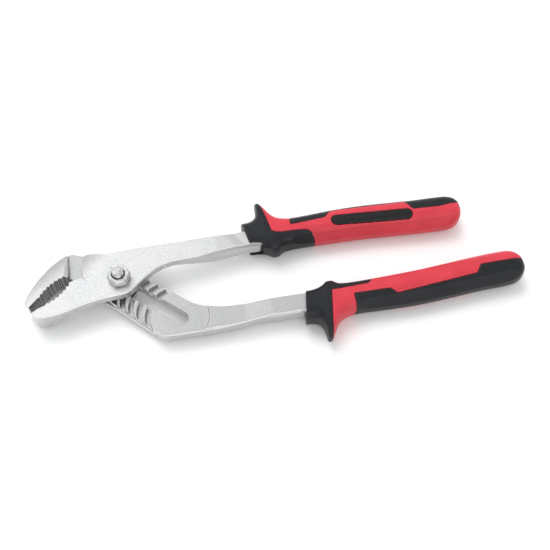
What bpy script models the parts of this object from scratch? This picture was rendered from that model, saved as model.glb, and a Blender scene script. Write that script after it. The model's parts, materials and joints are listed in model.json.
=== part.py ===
"""Tongue and groove pliers, 300 mm class, lying flat with the jaws towards -X.

Two steel halves cross at a sliding pivot bolt. The tongue half carries one arc-shaped tongue under its
joint plate, which turns in the arc-shaped grooves cut across the slot of the grooved half. Each handle has
a moulded sleeve of four pieces: a red core, a black collar with its finger guard, a black outer panel and
a black pill-shaped badge.

Lengths are millimetres in the design frame: X along the tool, Y across it, Z up, the bolt's axis at
X = Y = 0 and the sliding faces of the two halves at Z = 0. MM turns them into metres.
"""

import bmesh
import bpy
from math import atan2, cos, degrees, hypot, pi, radians, sin
from mathutils import Matrix, Vector

MM = 0.001
GAP = 0.3

# heights of the steel halves
FACE = 6.0
BACK = -8.0
CLEAR = 20.0
FAR = 160.0
TONGUE_UNDERSIDE = GAP
ARM_STEP = 0.8
TOP_FALL = ((0.0, FACE), (14.0, 1.9))
REST = -11.5

# adjusting slot and grooves, along the slot's own direction
SLOT_ANGLE = radians(-41.5)
PITCH = 6.1
POSITIONS = 8
SLOT_WIDTH = 8.3
SLOT_START = -1.1
GROOVE_RADIUS = 18.9
GROOVE_WIDTH = 3.2
GROOVE_FLOOR = -4.2
GROOVE_SPREAD = radians(78)
TONGUE_WIDTH = 2.5
TONGUE_DEPTH = 3.9
TONGUE_SPREAD = radians(19)
STEP_RADIUS = 17.5

# pivot bolt and nut, M8
SHANK_RADIUS = 3.85
NECK_RADIUS = 4.6
BORE_RADIUS = 4.2
HEAD_RADIUS = 8.8
STUB_TOP = 15.8
NUT_ACROSS_FLATS = 13.0
NUT_TOP = 12.5
NUT_TURN = radians(12)

# handle sleeves
SLEEVE_MIDDLE = -2.5
SLEEVE_END = 135.2
CAP_START = 120.0
UPPER_SLEEVE_AT = (79.0, 17.0)
UPPER_SLEEVE_TURN = radians(-1.0)
LOWER_SLEEVE_AT = (106.5, -33.5)
LOWER_SLEEVE_TURN = radians(2.3)
GUARD_BACK = 15.6
GUARD_LEAN = 0.2
SKIN = 2.2
TANG = (-4.6, 3.6)
TANG_START = 13.0
TANG_LENGTH = 106.0
TANG_HALF_HEIGHT = 4.6
RING_POINTS = 24
BADGE_FACE = 1
PLAIN_FACE = -1
FACE_OVERLAP = 0.4

# along the sleeve, inner side, outer side, half height, lean of the section
SLEEVE_SECTIONS = (
    (0.0, -8.4, 10.4, 8.4, 0.2),
    (4.5, -8.5, 10.8, 8.5, 0.2),
    (8.0, -9.2, 12.2, 8.7, 0.2),
    (10.5, -10.4, 15.2, 8.9, 0.2),
    (12.0, -11.8, 20.2, 9.0, 0.2),
    (13.0, -12.3, 24.3, 9.0, 0.2),
    (15.3, -12.3, 24.8, 9.0, 0.2),
    (16.9, -11.8, 20.5, 9.0, 0.19),
    (19.0, -10.4, 14.8, 8.9, 0.16),
    (22.0, -9.2, 11.6, 8.8, 0.12),
    (28.0, -8.5, 9.9, 8.7, 0.05),
    (38.0, -8.1, 10.3, 8.7, 0.0),
    (54.0, -7.9, 11.5, 8.8, 0.0),
    (72.0, -7.9, 12.0, 8.8, 0.0),
    (90.0, -8.6, 11.4, 8.9, 0.0),
    (106.0, -9.3, 10.7, 9.0, 0.0),
    (119.0, -9.5, 10.7, 9.0, 0.0),
    (127.0, -9.2, 10.4, 8.8, 0.0),
    (131.4, -7.4, 9.0, 8.0, 0.0),
    (134.1, -4.6, 6.4, 6.4, 0.0),
    (SLEEVE_END, -1.6, 3.4, 3.8, 0.0),
)


def clear_scene():
    for old in list(bpy.data.objects):
        bpy.data.objects.remove(old, do_unlink=True)
    group = bpy.data.collections.new("tongue_and_groove_pliers")
    bpy.context.scene.collection.children.link(group)
    return group


def material(name, colour, roughness, metallic):
    made = bpy.data.materials.new(name)
    made.use_nodes = True
    shader = made.node_tree.nodes["Principled BSDF"]
    shader.inputs["Base Color"].default_value = (*colour, 1.0)
    shader.inputs["Roughness"].default_value = roughness
    shader.inputs["Metallic"].default_value = metallic
    return made


# --- plane geometry -------------------------------------------------------------------------------


def along_slot(distance, aside=0.0):
    """A point given along the slot from the bolt's rest position, and to the left of that direction."""
    return (
        distance * cos(SLOT_ANGLE) - aside * sin(SLOT_ANGLE),
        distance * sin(SLOT_ANGLE) + aside * cos(SLOT_ANGLE),
    )


def arc(centre, radius, start, end, steps):
    turn = (end - start) / steps
    return [
        (centre[0] + radius * cos(start + turn * i), centre[1] + radius * sin(start + turn * i))
        for i in range(steps + 1)
    ]


def ring_sector(centre, radius, width, middle, spread, steps):
    outer = arc(centre, radius + width / 2, middle - spread, middle + spread, steps)
    inner = arc(centre, radius - width / 2, middle + spread, middle - spread, steps)
    return outer + inner


def round_ended(start, end, radius, steps=8):
    """A straight slot outline from one end's centre to the other's."""
    heading = atan2(end[1] - start[1], end[0] - start[0])
    return arc(end, radius, heading - pi / 2, heading + pi / 2, steps) + arc(
        start, radius, heading + pi / 2, heading + 3 * pi / 2, steps
    )


def smooth(points, steps=3):
    """A Catmull-Rom curve through the points."""
    padded = [Vector(point) for point in (points[0], *points, points[-1])]
    made = []
    for a, b, c, d in zip(padded, padded[1:], padded[2:], padded[3:]):
        for step in range(steps):
            f = step / steps
            bend = (2 * a - 5 * b + 4 * c - d) * f**2 + (3 * b - a - 3 * c + d) * f**3
            made.append(tuple(0.5 * (2 * b + (c - a) * f + bend)))
    return [*made, points[-1]]


def serrated(start, end, hollow, count, depth):
    """Teeth along a shallow arc. The arc lies to the left of start-end by hollow, the tips to the right."""
    length = hypot(end[0] - start[0], end[1] - start[1])
    ahead = ((end[0] - start[0]) / length, (end[1] - start[1]) / length)
    left = (-ahead[1], ahead[0])
    made = []
    for i in range(2 * count + 1):
        f = i / (2 * count)
        aside = 4 * hollow * f * (1 - f) - (depth if i % 2 else 0.0)
        made.append(tuple(start[k] + ahead[k] * length * f + left[k] * aside for k in (0, 1)))
    return made


# --- solids ----------------------------------------------------------------------------------------


def link(name, mesh, place=None):
    obj = bpy.data.objects.new(name, mesh)
    bpy.context.scene.collection.objects.link(obj)
    if place is not None:
        obj.matrix_world = place
    return obj


def swap_mesh(obj, mesh):
    old = obj.data
    obj.data = mesh
    bpy.data.meshes.remove(old)


def plate(name, outline, low, high):
    """A flat outline as a solid between two heights."""
    curve = bpy.data.curves.new(name, "CURVE")
    curve.dimensions = "2D"
    curve.fill_mode = "BOTH"
    curve.extrude = (high - low) / 2 * MM
    spline = curve.splines.new("POLY")
    spline.points.add(len(outline) - 1)
    for point, (x, y) in zip(spline.points, outline):
        point.co = (x * MM, y * MM, 0.0, 1.0)
    spline.use_cyclic_u = True
    drawn = link(name + "_curve", curve, Matrix.Translation((0, 0, (low + high) / 2 * MM)))
    bpy.context.view_layer.update()
    mesh = bpy.data.meshes.new_from_object(drawn.evaluated_get(bpy.context.evaluated_depsgraph_get()))
    shape = bmesh.new()
    shape.from_mesh(mesh)
    bmesh.ops.remove_doubles(shape, verts=shape.verts, dist=1e-6)
    shape.transform(drawn.matrix_world)
    bmesh.ops.recalc_face_normals(shape, faces=shape.faces)
    shape.to_mesh(mesh)
    shape.free()
    bpy.data.objects.remove(drawn, do_unlink=True)
    bpy.data.curves.remove(curve)
    return link(name, mesh)


def side_plate(name, outline, reach):
    """An outline of X and Z as a solid that spans Y from -reach to reach."""
    obj = plate(name, outline, -reach, reach)
    obj.data.transform(Matrix.Rotation(pi / 2, 4, "X"))
    return obj


def fall_cutter(start, heading, profile, reach):
    """A cutter over a surface that falls away from start. The profile gives distance and height."""
    top = [(profile[-1][0], CLEAR), (profile[0][0], CLEAR)]
    obj = side_plate("fall", [*profile, *top], reach)
    obj.data.transform(Matrix.Rotation(heading, 4, "Z"))
    obj.data.transform(Matrix.Translation((start[0] * MM, start[1] * MM, 0.0)))
    return obj


def turned(name, profile, steps=32):
    """A solid of revolution about Z from a profile of radius and height, top to bottom."""
    mesh = bpy.data.meshes.new(name)
    shape = bmesh.new()
    row = [shape.verts.new((radius * MM, 0.0, height * MM)) for radius, height in profile]
    for a, b in zip(row, row[1:]):
        shape.edges.new((a, b))
    shape.to_mesh(mesh)
    shape.free()
    obj = link(name, mesh)
    screw = obj.modifiers.new("turn", "SCREW")
    screw.steps = steps
    screw.render_steps = steps
    screw.use_merge_vertices = True
    screw.merge_threshold = 1e-5
    bake(obj)
    return obj


def bake(obj):
    bpy.context.view_layer.update()
    done = bpy.data.meshes.new_from_object(obj.evaluated_get(bpy.context.evaluated_depsgraph_get()))
    obj.modifiers.clear()
    swap_mesh(obj, done)


def combine(obj, other, operation, keep_other=False):
    change = obj.modifiers.new(operation, "BOOLEAN")
    change.operation = operation
    change.solver = "EXACT"
    change.object = other
    bake(obj)
    if not keep_other:
        bpy.data.objects.remove(other, do_unlink=True)
    return obj


def cut(obj, cutter, keep_other=False):
    return combine(obj, cutter, "DIFFERENCE", keep_other)


def join(obj, other):
    return combine(obj, other, "UNION")


def keep_within(obj, region, keep_other=False):
    return combine(obj, region, "INTERSECT", keep_other)


def copy_of(obj, name):
    return link(name, obj.data.copy())


# --- sleeve geometry, in the sleeve's own frame: X along it, Y to the outer side ---------------------


def signed_power(value, power):
    return abs(value) ** power * (1 if value >= 0 else -1)


def sleeve_body(name, inset=0.0):
    """The whole outer form of a sleeve as a loft of rounded-box sections, or that form shrunk by inset."""
    shape = bmesh.new()
    rings = []
    for place, inner, outer, half, lean in SLEEVE_SECTIONS:
        place -= inset * max(0.0, (place - CAP_START) / (SLEEVE_END - CAP_START))
        middle = 1.0
        ring = []
        for i in range(RING_POINTS):
            angle = 2 * pi * (i + 0.5) / RING_POINTS
            reach = (outer - middle if cos(angle) > 0 else middle - inner) - inset
            aside = middle + max(reach, 0.4) * signed_power(cos(angle), 0.7)
            up = max(half - inset, 0.4) * signed_power(sin(angle), 0.7)
            ring.append(shape.verts.new(((place - lean * aside) * MM, aside * MM, up * MM)))
        rings.append(ring)
    for a, b in zip(rings, rings[1:]):
        for i in range(RING_POINTS):
            j = (i + 1) % RING_POINTS
            shape.faces.new((a[i], a[j], b[j], b[i]))
    shape.faces.new(rings[0])
    shape.faces.new(rings[-1])
    bmesh.ops.recalc_face_normals(shape, faces=shape.faces)
    bmesh.ops.triangulate(shape, faces=shape.faces)
    mesh = bpy.data.meshes.new(name)
    shape.to_mesh(mesh)
    shape.free()
    return link(name, mesh)


def outer_panel_outline(grow, face):
    """Wide behind the guard and at the rear, narrow along the middle where the hand closes."""
    if face == BADGE_FACE:
        edge = [(28.0, 2.9), (49.6, 4.8), (54.0, 9.6), (100.6, 8.8), (104.6, 2.0), (121.0, 1.4), (134.0, 3.4)]
    else:
        edge = [(28.8, 1.4), (50.6, 2.6), (54.4, 6.1), (104.0, 3.8), (108.0, -1.2), (134.0, -0.6)]
    start = edge[0][0] - grow
    grown = [(start, edge[0][1] - grow), *((s, t - grow) for s, t in edge[1:])]
    return [*grown, (FAR, edge[-1][1]), (FAR, CLEAR), (start, CLEAR)]


def inner_panel_outline(grow, face):
    """A tongue of the collar that runs back along the inner side, deeper on the badge's face."""
    if face == BADGE_FACE:
        edge = [(10.0, 1.0), (14.6, 1.0), (17.0, -0.6), (21.2, -1.5), (38.4, -2.2), (40.4, -4.0)]
    else:
        edge = [(10.0, -4.4), (38.4, -4.4), (40.4, -5.4)]
    end = 41.4 + grow
    return [*((s, t + grow) for s, t in edge), (end, -7.0), (end, -CLEAR), (10.0, -CLEAR)]


def badge_outline(grow):
    return round_ended((56.4, 1.7), (100.4, -0.6), 3.3 + grow)


def front_block(name, place, backwards):
    """Everything on one side of the leaning plane at place."""
    reach = 2 * CLEAR
    outline = [
        (place - GUARD_LEAN * reach, reach),
        (place + GUARD_LEAN * reach, -reach),
        (place + backwards * FAR, -reach),
        (place + backwards * FAR, reach),
    ]
    return plate(name, outline, -CLEAR, CLEAR)


def passage_outline(grow):
    """The room inside the sleeve for the arm, which narrows to its tang, open on the collar's inner side."""
    low, high = TANG[0] - grow, TANG[1] + grow
    return [
        (-5.0, -8.4 - grow),
        (7.5, -8.4 - grow),
        (TANG_START, low),
        (TANG_LENGTH + grow, low),
        (TANG_LENGTH + grow, high),
        (TANG_START, high),
        (8.0, 5.0 + grow),
        (-5.0, 5.0 + grow),
    ]


def sleeve_passage():
    tang = plate("tang_room", passage_outline(GAP), -TANG_HALF_HEIGHT - GAP, TANG_HALF_HEIGHT + GAP)
    mouth = [(-5.0, -8.4 - GAP), (9.5, -8.4 - GAP), (9.5, 5.0 + GAP), (-5.0, 5.0 + GAP)]
    return join(tang, plate("mouth_room", mouth, -TANG_HALF_HEIGHT - GAP, 6.9))


def two_faced(name, outline_of, grow=0.0):
    """A block whose outline differs on the sleeve's two faces, joined a little past the middle."""
    upper = plate(name, outline_of(grow, BADGE_FACE), -grow, CLEAR)
    return join(upper, plate("lower_part", outline_of(grow, PLAIN_FACE), -CLEAR, FACE_OVERLAP + grow))


def sleeve_pieces(prefix):
    """The four pieces of one sleeve, in the sleeve's own frame."""
    whole = sleeve_body("whole")
    under_skin = sleeve_body("under_skin", SKIN)
    pocket_floor = sleeve_body("pocket_floor", SKIN + GAP)

    core = keep_within(copy_of(whole, prefix + "_grip_core"), front_block("rear", GUARD_BACK + GAP, 1))
    for outline_of in (outer_panel_outline, inner_panel_outline):
        cut(core, cut(two_faced("pocket", outline_of, GAP), pocket_floor, True))
    cut(core, cut(plate("pocket", badge_outline(GAP), 0.0, CLEAR), pocket_floor, True))
    cut(core, sleeve_passage())

    guard = keep_within(copy_of(whole, prefix + "_guard_collar"), front_block("front", GUARD_BACK, -1))
    inner = keep_within(two_faced("inner_panel", inner_panel_outline), whole, True)
    join(guard, cut(inner, under_skin, True))
    cut(guard, sleeve_passage())

    outer = keep_within(two_faced(prefix + "_outer_panel", outer_panel_outline), whole, True)
    cut(outer, under_skin, True)
    badge = keep_within(plate(prefix + "_badge", badge_outline(0.0), 0.0, CLEAR), whole, True)
    cut(badge, under_skin, True)
    for done in (whole, under_skin, pocket_floor):
        bpy.data.objects.remove(done, do_unlink=True)
    return core, guard, outer, badge


def sleeve_place(at, turn, flipped):
    place = Matrix.Translation((at[0] * MM, at[1] * MM, SLEEVE_MIDDLE * MM)) @ Matrix.Rotation(turn, 4, "Z")
    return place @ Matrix.Rotation(pi, 4, "X") if flipped else place


def sleeve_point(place, along, aside):
    """A point of the sleeve's frame in the design frame."""
    point = place @ Vector((along * MM, aside * MM, 0.0))
    return (point.x / MM, point.y / MM)


def tang_corners(place):
    """The tang of a handle's arm, from its inner side round its end to its outer side."""
    corners = ((TANG_START, TANG[0]), (TANG_LENGTH, TANG[0]), (TANG_LENGTH, TANG[1]), (TANG_START, TANG[1]))
    return [sleeve_point(place, along, aside) for along, aside in corners]


UPPER_SLEEVE = sleeve_place(UPPER_SLEEVE_AT, UPPER_SLEEVE_TURN, False)
LOWER_SLEEVE = sleeve_place(LOWER_SLEEVE_AT, LOWER_SLEEVE_TURN, True)


# --- steel halves ------------------------------------------------------------------------------------


def tongue_half():
    """Lower jaw, joint plate with the tongue under it, and the upper handle's arm with its tang."""
    jaw_back = [(-52.4, -16.4), (-50.4, -17.6), (-46.8, -18.0), (-40.2, -17.7), (-33.9, -16.6)]
    neck = [(-9.4, -11.4), (1.5, -10.7), (6.2, -8.9), (11.9, -4.3)]
    throat = [(18.0, 0.4), (23.3, 3.6), (29.9, 5.7), (38.0, 6.4)]
    outline = [
        *smooth([*jaw_back, (-22.1, -13.5)]),
        *smooth([*neck, *throat]),
        (55.6, 7.2),
        (72.0, 8.7),
        (86.0, 8.8),
        *tang_corners(UPPER_SLEEVE),
        (87.0, 19.4),
        (66.0, 19.3),
        (10.0, 18.9),
        (-4.0, 18.3),
        (-9.0, 18.9),
        (-13.8, 20.6),
        (-18.8, 21.3),
        (-21.2, 20.0),
        (-21.9, 17.6),
        (-21.9, 4.4),
        (-24.5, 4.6),
        (-27.6, 3.4),
        *serrated((-28.4, 3.0), (-44.6, -10.0), 1.9, 7, 1.0),
        (-48.7, -11.3),
        (-53.1, -13.8),
    ]
    half = plate("tongue_half", outline, BACK - 1, FACE + 1)
    side = [
        (-60.0, FACE),
        (60.0, FACE),
        (79.0, 4.1),
        (84.0, 3.8),
        (88.0, SLEEVE_MIDDLE + TANG_HALF_HEIGHT),
        (200.0, SLEEVE_MIDDLE + TANG_HALF_HEIGHT),
        (200.0, SLEEVE_MIDDLE - TANG_HALF_HEIGHT),
        (78.0, SLEEVE_MIDDLE - TANG_HALF_HEIGHT),
        (60.0, -6.0),
        (33.0, TONGUE_UNDERSIDE),
        (-35.5, TONGUE_UNDERSIDE),
        (-37.5, -1.5),
        (-44.5, BACK),
        (-60.0, BACK),
    ]
    keep_within(half, side_plate("tongue_side", side, 3 * CLEAR))
    cut(half, fall_cutter((-12.9, 12.9), radians(132), TOP_FALL, 12.5))
    ridge = ring_sector((0, 0), GROOVE_RADIUS, TONGUE_WIDTH, SLOT_ANGLE + pi, TONGUE_SPREAD, 8)
    join(half, plate("ridge", ridge, -TONGUE_DEPTH, TONGUE_UNDERSIDE + 1))
    cut(half, bore_cutter(BORE_RADIUS))
    return half


def bore_cutter(radius):
    return plate("bore", arc((0, 0), radius, 0, 2 * pi * 31 / 32, 31), -CLEAR, CLEAR)


def grooved_half():
    """Upper jaw, slotted joint plate with the grooves, and the lower handle's arm with its tang."""
    back = [(-15.0, 21.6), (-21.7, 22.5), (-26.4, 24.4), (-28.8, 24.6), (-31.4, 22.4), (-34.4, 21.0)]
    jaw_back = [(-40.2, 17.1), (-44.3, 12.9), (-48.8, 7.9), (-52.8, 2.1), (-56.0, -3.7)]
    arm_top = [(104.0, -26.8), (90.0, -26.6), (70.0, -26.9)]
    throat = [(57.0, -26.1), (48.4, -23.9), (41.2, -20.8), (35.9, -16.9)]
    outline = [
        (-54.6, -10.4),
        (-49.4, -5.4),
        *serrated((-48.8, -4.6), (-30.2, 8.3), 2.4, 8, 1.0),
        (-27.8, 6.4),
        (-6.0, -13.6),
        *smooth([(18.4, -36.8), (20.2, -38.3), (22.6, -39.2), (26.0, -39.5)]),
        *smooth([(44.0, -39.7), (58.0, -39.5), (70.0, -38.6), (82.0, -37.8)]),
        (112.0, -38.2),
        *reversed(tang_corners(LOWER_SLEEVE)),
        (114.0, -27.0),
        *smooth([*arm_top, *throat]),
        (-4.5, 18.6),
        (-8.0, 20.4),
        *smooth([*back, *jaw_back]),
        (-56.9, -6.4),
    ]
    half = plate("grooved_half", outline, BACK - 1, FACE + 1)
    side = [
        (-70.0, FACE),
        (-31.0, FACE),
        (-30.2, 1.2),
        (-29.4, 0.0),
        (40.0, 0.0),
        (40.0, ARM_STEP),
        (62.0, ARM_STEP),
        (88.0, SLEEVE_MIDDLE + TANG_HALF_HEIGHT),
        (230.0, SLEEVE_MIDDLE + TANG_HALF_HEIGHT),
        (230.0, SLEEVE_MIDDLE - TANG_HALF_HEIGHT),
        (115.5, SLEEVE_MIDDLE - TANG_HALF_HEIGHT),
        (112.0, BACK),
        (-70.0, BACK),
    ]
    keep_within(half, side_plate("grooved_side", side, 3 * CLEAR))
    cut(half, fall_cutter((-31.3, 9.9), radians(124.8), TOP_FALL, 3 * CLEAR))
    last = along_slot(PITCH * (POSITIONS - 1))
    cut(half, plate("step", arc(last, STEP_RADIUS, 0, 2 * pi * 47 / 48, 47), 0.0, CLEAR))
    rim = [along_slot(-3.0, -20.0), along_slot(33.5, -20.0), along_slot(33.5, -14.0), along_slot(-3.0, -12.3)]
    cut(half, plate("rim", rim, -5.2, 2.0))
    for number in range(POSITIONS):
        centre = along_slot(PITCH * number)
        band = ring_sector(centre, GROOVE_RADIUS, GROOVE_WIDTH, SLOT_ANGLE + pi, GROOVE_SPREAD, 12)
        cut(half, plate("groove", band, GROOVE_FLOOR, 2.0))
    ends = along_slot(SLOT_START), along_slot(PITCH * (POSITIONS - 1) - SLOT_START)
    cut(half, plate("slot", round_ended(*ends, SLOT_WIDTH / 2), -CLEAR, CLEAR))
    return half


# --- pivot ---------------------------------------------------------------------------------------------


def pivot_bolt():
    """Low round head under the plate, flat-sided neck in the slot, threaded shank through the tongue half."""
    profile = (
        (0.0, STUB_TOP),
        (SHANK_RADIUS - 0.9, STUB_TOP),
        (SHANK_RADIUS, STUB_TOP - 0.9),
        (SHANK_RADIUS, -0.6),
        (NECK_RADIUS, -0.6),
        (NECK_RADIUS, BACK - GAP),
        (HEAD_RADIUS, BACK - GAP),
        (HEAD_RADIUS, REST + 0.7),
        (HEAD_RADIUS - 0.7, REST),
        (0.0, REST),
    )
    bolt = turned("pivot_bolt", profile)
    for side in (SHANK_RADIUS, -SHANK_RADIUS):
        near = [along_slot(-HEAD_RADIUS, side), along_slot(HEAD_RADIUS, side)]
        far = [along_slot(HEAD_RADIUS, 2 * side), along_slot(-HEAD_RADIUS, 2 * side)]
        cut(bolt, plate("flat", near + far, BACK - GAP, FACE))
    return bolt


def pivot_nut():
    corner = NUT_ACROSS_FLATS / 2 / cos(pi / 6)
    hexagon = arc((0, 0), corner, NUT_TURN, NUT_TURN + 2 * pi * 5 / 6, 5)
    nut = plate("pivot_nut", hexagon, FACE + GAP, NUT_TOP)
    profile = (
        (0.0, NUT_TOP + 1),
        (NUT_ACROSS_FLATS / 2 - 0.3, NUT_TOP + 1),
        (NUT_ACROSS_FLATS / 2 - 0.3, NUT_TOP),
        (corner + 0.1, NUT_TOP - 1.1),
        (corner + 0.1, FACE - 1),
        (0.0, FACE - 1),
    )
    keep_within(nut, turned("chamfer", profile))
    return cut(nut, bore_cutter(SHANK_RADIUS + GAP))


# --- assembly ------------------------------------------------------------------------------------------


def main():
    group = clear_scene()
    satin_steel = material("satin_chrome_steel", (0.72, 0.73, 0.74), 0.38, 1.0)
    bright_steel = material("bright_zinc_steel", (0.66, 0.66, 0.67), 0.25, 1.0)
    red_plastic = material("red_plastic", (0.78, 0.045, 0.07), 0.45, 0.0)
    black_rubber = material("black_rubber", (0.018, 0.02, 0.023), 0.6, 0.0)
    badge_plastic = material("badge_plastic", (0.012, 0.012, 0.014), 0.35, 0.0)
    sleeve_materials = (red_plastic, black_rubber, black_rubber, badge_plastic)

    grooved = [grooved_half()]
    grooved[0].data.materials.append(satin_steel)
    tongue = [tongue_half()]
    tongue[0].data.materials.append(satin_steel)
    pivot = [pivot_bolt(), pivot_nut()]
    for piece in pivot:
        piece.data.materials.append(bright_steel)
    for pieces, prefix, place in ((tongue, "upper", UPPER_SLEEVE), (grooved, "lower", LOWER_SLEEVE)):
        for piece, finish in zip(sleeve_pieces(prefix), sleeve_materials):
            piece.data.transform(place)
            piece.data.materials.clear()
            piece.data.materials.append(finish)
            pieces.append(piece)

    corners = [v.co for piece in (*grooved, *pivot, *tongue) for v in piece.data.vertices]
    middle_x = (min(c.x for c in corners) + max(c.x for c in corners)) / 2
    middle_y = (min(c.y for c in corners) + max(c.y for c in corners)) / 2
    low = min(c.z for c in corners)
    base = bpy.data.objects.new("base", None)
    group.objects.link(base)
    base.location = (-middle_x, -middle_y, -low)
    bolt_axis = bpy.data.objects.new("bolt_axis", None)
    group.objects.link(bolt_axis)
    bolt_axis.parent = base
    for piece in (*grooved, *pivot, *tongue):
        bpy.context.scene.collection.objects.unlink(piece)
        group.objects.link(piece)
        piece.parent = base if piece in grooved else bolt_axis
        piece.data.shade_smooth()
        piece.data.set_sharp_from_angle(angle=radians(35))


main()
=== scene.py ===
"""Looks of the tongue and groove pliers: fine meshes for every piece, their materials, and the studio.

Lengths are millimetres in the tool's own frame, with the bolt's axis at X = Y = 0 and the sliding faces of
the two halves at Z = 0. The frame's joints say where that is in the world. MM turns them into metres.
"""

import json
from math import atan2, cos, hypot, pi, radians, sin

import bmesh
import bpy
from mathutils import Matrix, Vector


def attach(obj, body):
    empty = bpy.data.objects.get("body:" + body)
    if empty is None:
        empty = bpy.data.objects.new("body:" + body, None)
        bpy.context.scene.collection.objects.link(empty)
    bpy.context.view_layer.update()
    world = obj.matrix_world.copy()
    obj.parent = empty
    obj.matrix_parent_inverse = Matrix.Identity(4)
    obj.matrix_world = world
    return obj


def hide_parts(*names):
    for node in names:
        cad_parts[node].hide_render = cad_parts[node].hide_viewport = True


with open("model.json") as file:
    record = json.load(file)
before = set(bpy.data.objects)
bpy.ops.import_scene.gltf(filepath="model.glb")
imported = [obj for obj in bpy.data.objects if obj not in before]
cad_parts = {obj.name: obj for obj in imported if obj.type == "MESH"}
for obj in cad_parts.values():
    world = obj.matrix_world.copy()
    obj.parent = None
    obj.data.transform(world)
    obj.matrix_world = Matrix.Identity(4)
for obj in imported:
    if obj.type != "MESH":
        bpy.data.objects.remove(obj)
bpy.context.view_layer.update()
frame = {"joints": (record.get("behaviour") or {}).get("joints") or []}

JOINTS = {joint["type"]: joint for joint in frame["joints"]}
ORIGIN = Vector(JOINTS["hinge"]["pos_m"])
MM = 0.001

# heights of the steel halves
FACE = 6.0
BACK = -8.0
REST = -ORIGIN.z / MM
UNDERSIDE = 0.25
ARM_STEP = 0.8
CLEAR = 20.0
FAR = 160.0

# adjusting slot and grooves
SLOT_ANGLE = atan2(JOINTS["slide"]["axis"][1], JOINTS["slide"]["axis"][0])
PITCH = JOINTS["slide"]["range_m"][1] / MM / 6
POSITIONS = 8
SLOT_WIDTH = 8.3
SLOT_START = -1.1
GROOVE_RADIUS = 18.9
GROOVE_WIDTH = 3.2
GROOVE_FLOOR = -4.2
GROOVE_SPREAD = radians(78)
TONGUE_WIDTH = 2.5
TONGUE_DEPTH = 3.9
TONGUE_SPREAD = radians(19)
STEP_RADIUS = 17.5

# pivot bolt and nut
SHANK_RADIUS = 3.85
NECK_RADIUS = 4.6
BORE_RADIUS = 4.2
HEAD_RADIUS = 8.8
STUB_TOP = 15.8
STUB_RADIUS = 3.5
THREAD_PITCH = 1.25
THREAD_DEPTH = 0.22
NUT_ACROSS_FLATS = 12.2
NUT_BASE = 7.5
NUT_TOP = 12.2
NUT_TURN = radians(4)
NUT_FOOT_RADIUS = 5.3

# handle sleeves
SLEEVE_MIDDLE = -2.5
SLEEVE_END = 135.2
CAP_START = 120.0
UPPER_SLEEVE_AT = (79.0, 17.0)
UPPER_SLEEVE_TURN = radians(-1.0)
LOWER_SLEEVE_AT = (106.5, -33.5)
LOWER_SLEEVE_TURN = radians(2.3)
GUARD_BACK = 15.6
GUARD_LEAN = 0.2
SKIN = 2.2
SEAM = 0.14
ROOM = 0.3
TANG = (-4.6, 3.6)
TANG_START = 13.0
TANG_LENGTH = 106.0
TANG_HALF_HEIGHT = 4.6
RING_POINTS = 72
BADGE_FACE = 1
PLAIN_FACE = -1
FACE_OVERLAP = 0.4
# room for the arm in a collar: inner edge, top, and outer edge in each of the two
COLLAR_ARM = -8.4
COLLAR_ARM_TOP = 6.9
UPPER_ARM_EDGE = 4.3
LOWER_ARM_EDGE = 5.3

# fine meshes: size of a face, rounds of smoothing, share of faces kept
STEEL_GRAIN = (0.32, 3, 0.36)
SLEEVE_GRAIN = (0.34, 4, 0.42)

# along the sleeve, inner side, outer side, half height, lean of the section
SLEEVE_SECTIONS = (
    (0.0, -8.4, 10.4, 8.4, 0.2),
    (4.5, -8.5, 10.8, 8.5, 0.2),
    (8.0, -9.2, 12.2, 8.7, 0.2),
    (10.5, -10.4, 15.2, 8.9, 0.2),
    (12.0, -11.8, 20.2, 9.0, 0.2),
    (13.0, -12.3, 23.9, 9.0, 0.2),
    (15.3, -12.3, 24.3, 9.0, 0.2),
    (16.9, -11.8, 20.5, 9.0, 0.19),
    (19.0, -10.4, 14.8, 8.9, 0.16),
    (22.0, -9.2, 11.6, 8.8, 0.12),
    (28.0, -8.5, 9.9, 8.7, 0.05),
    (38.0, -8.1, 10.3, 8.7, 0.0),
    (54.0, -7.9, 11.5, 8.8, 0.0),
    (72.0, -7.9, 12.0, 8.8, 0.0),
    (90.0, -8.6, 11.4, 8.9, 0.0),
    (106.0, -9.3, 10.7, 9.0, 0.0),
    (119.0, -9.5, 10.7, 9.0, 0.0),
    (127.0, -9.2, 10.4, 8.8, 0.0),
    (131.4, -7.4, 9.0, 8.0, 0.0),
    (134.1, -4.6, 6.4, 6.4, 0.0),
    (SLEEVE_END, -1.6, 3.4, 3.8, 0.0),
)


# --- plane geometry ---------------------------------------------------------------------------------


def along_slot(distance, aside=0.0):
    """A point given along the slot from the bolt's rest position, and to the left of that direction."""
    return (
        distance * cos(SLOT_ANGLE) - aside * sin(SLOT_ANGLE),
        distance * sin(SLOT_ANGLE) + aside * cos(SLOT_ANGLE),
    )


def arc(centre, radius, start, end, steps):
    turn = (end - start) / steps
    return [
        (centre[0] + radius * cos(start + turn * i), centre[1] + radius * sin(start + turn * i))
        for i in range(steps + 1)
    ]


def ring_sector(centre, radius, width, middle, spread, steps):
    outer = arc(centre, radius + width / 2, middle - spread, middle + spread, steps)
    inner = arc(centre, radius - width / 2, middle + spread, middle - spread, steps)
    return outer + inner


def round_ended(start, end, radius, steps=24):
    heading = atan2(end[1] - start[1], end[0] - start[0])
    return arc(end, radius, heading - pi / 2, heading + pi / 2, steps) + arc(
        start, radius, heading + pi / 2, heading + 3 * pi / 2, steps
    )


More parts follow.
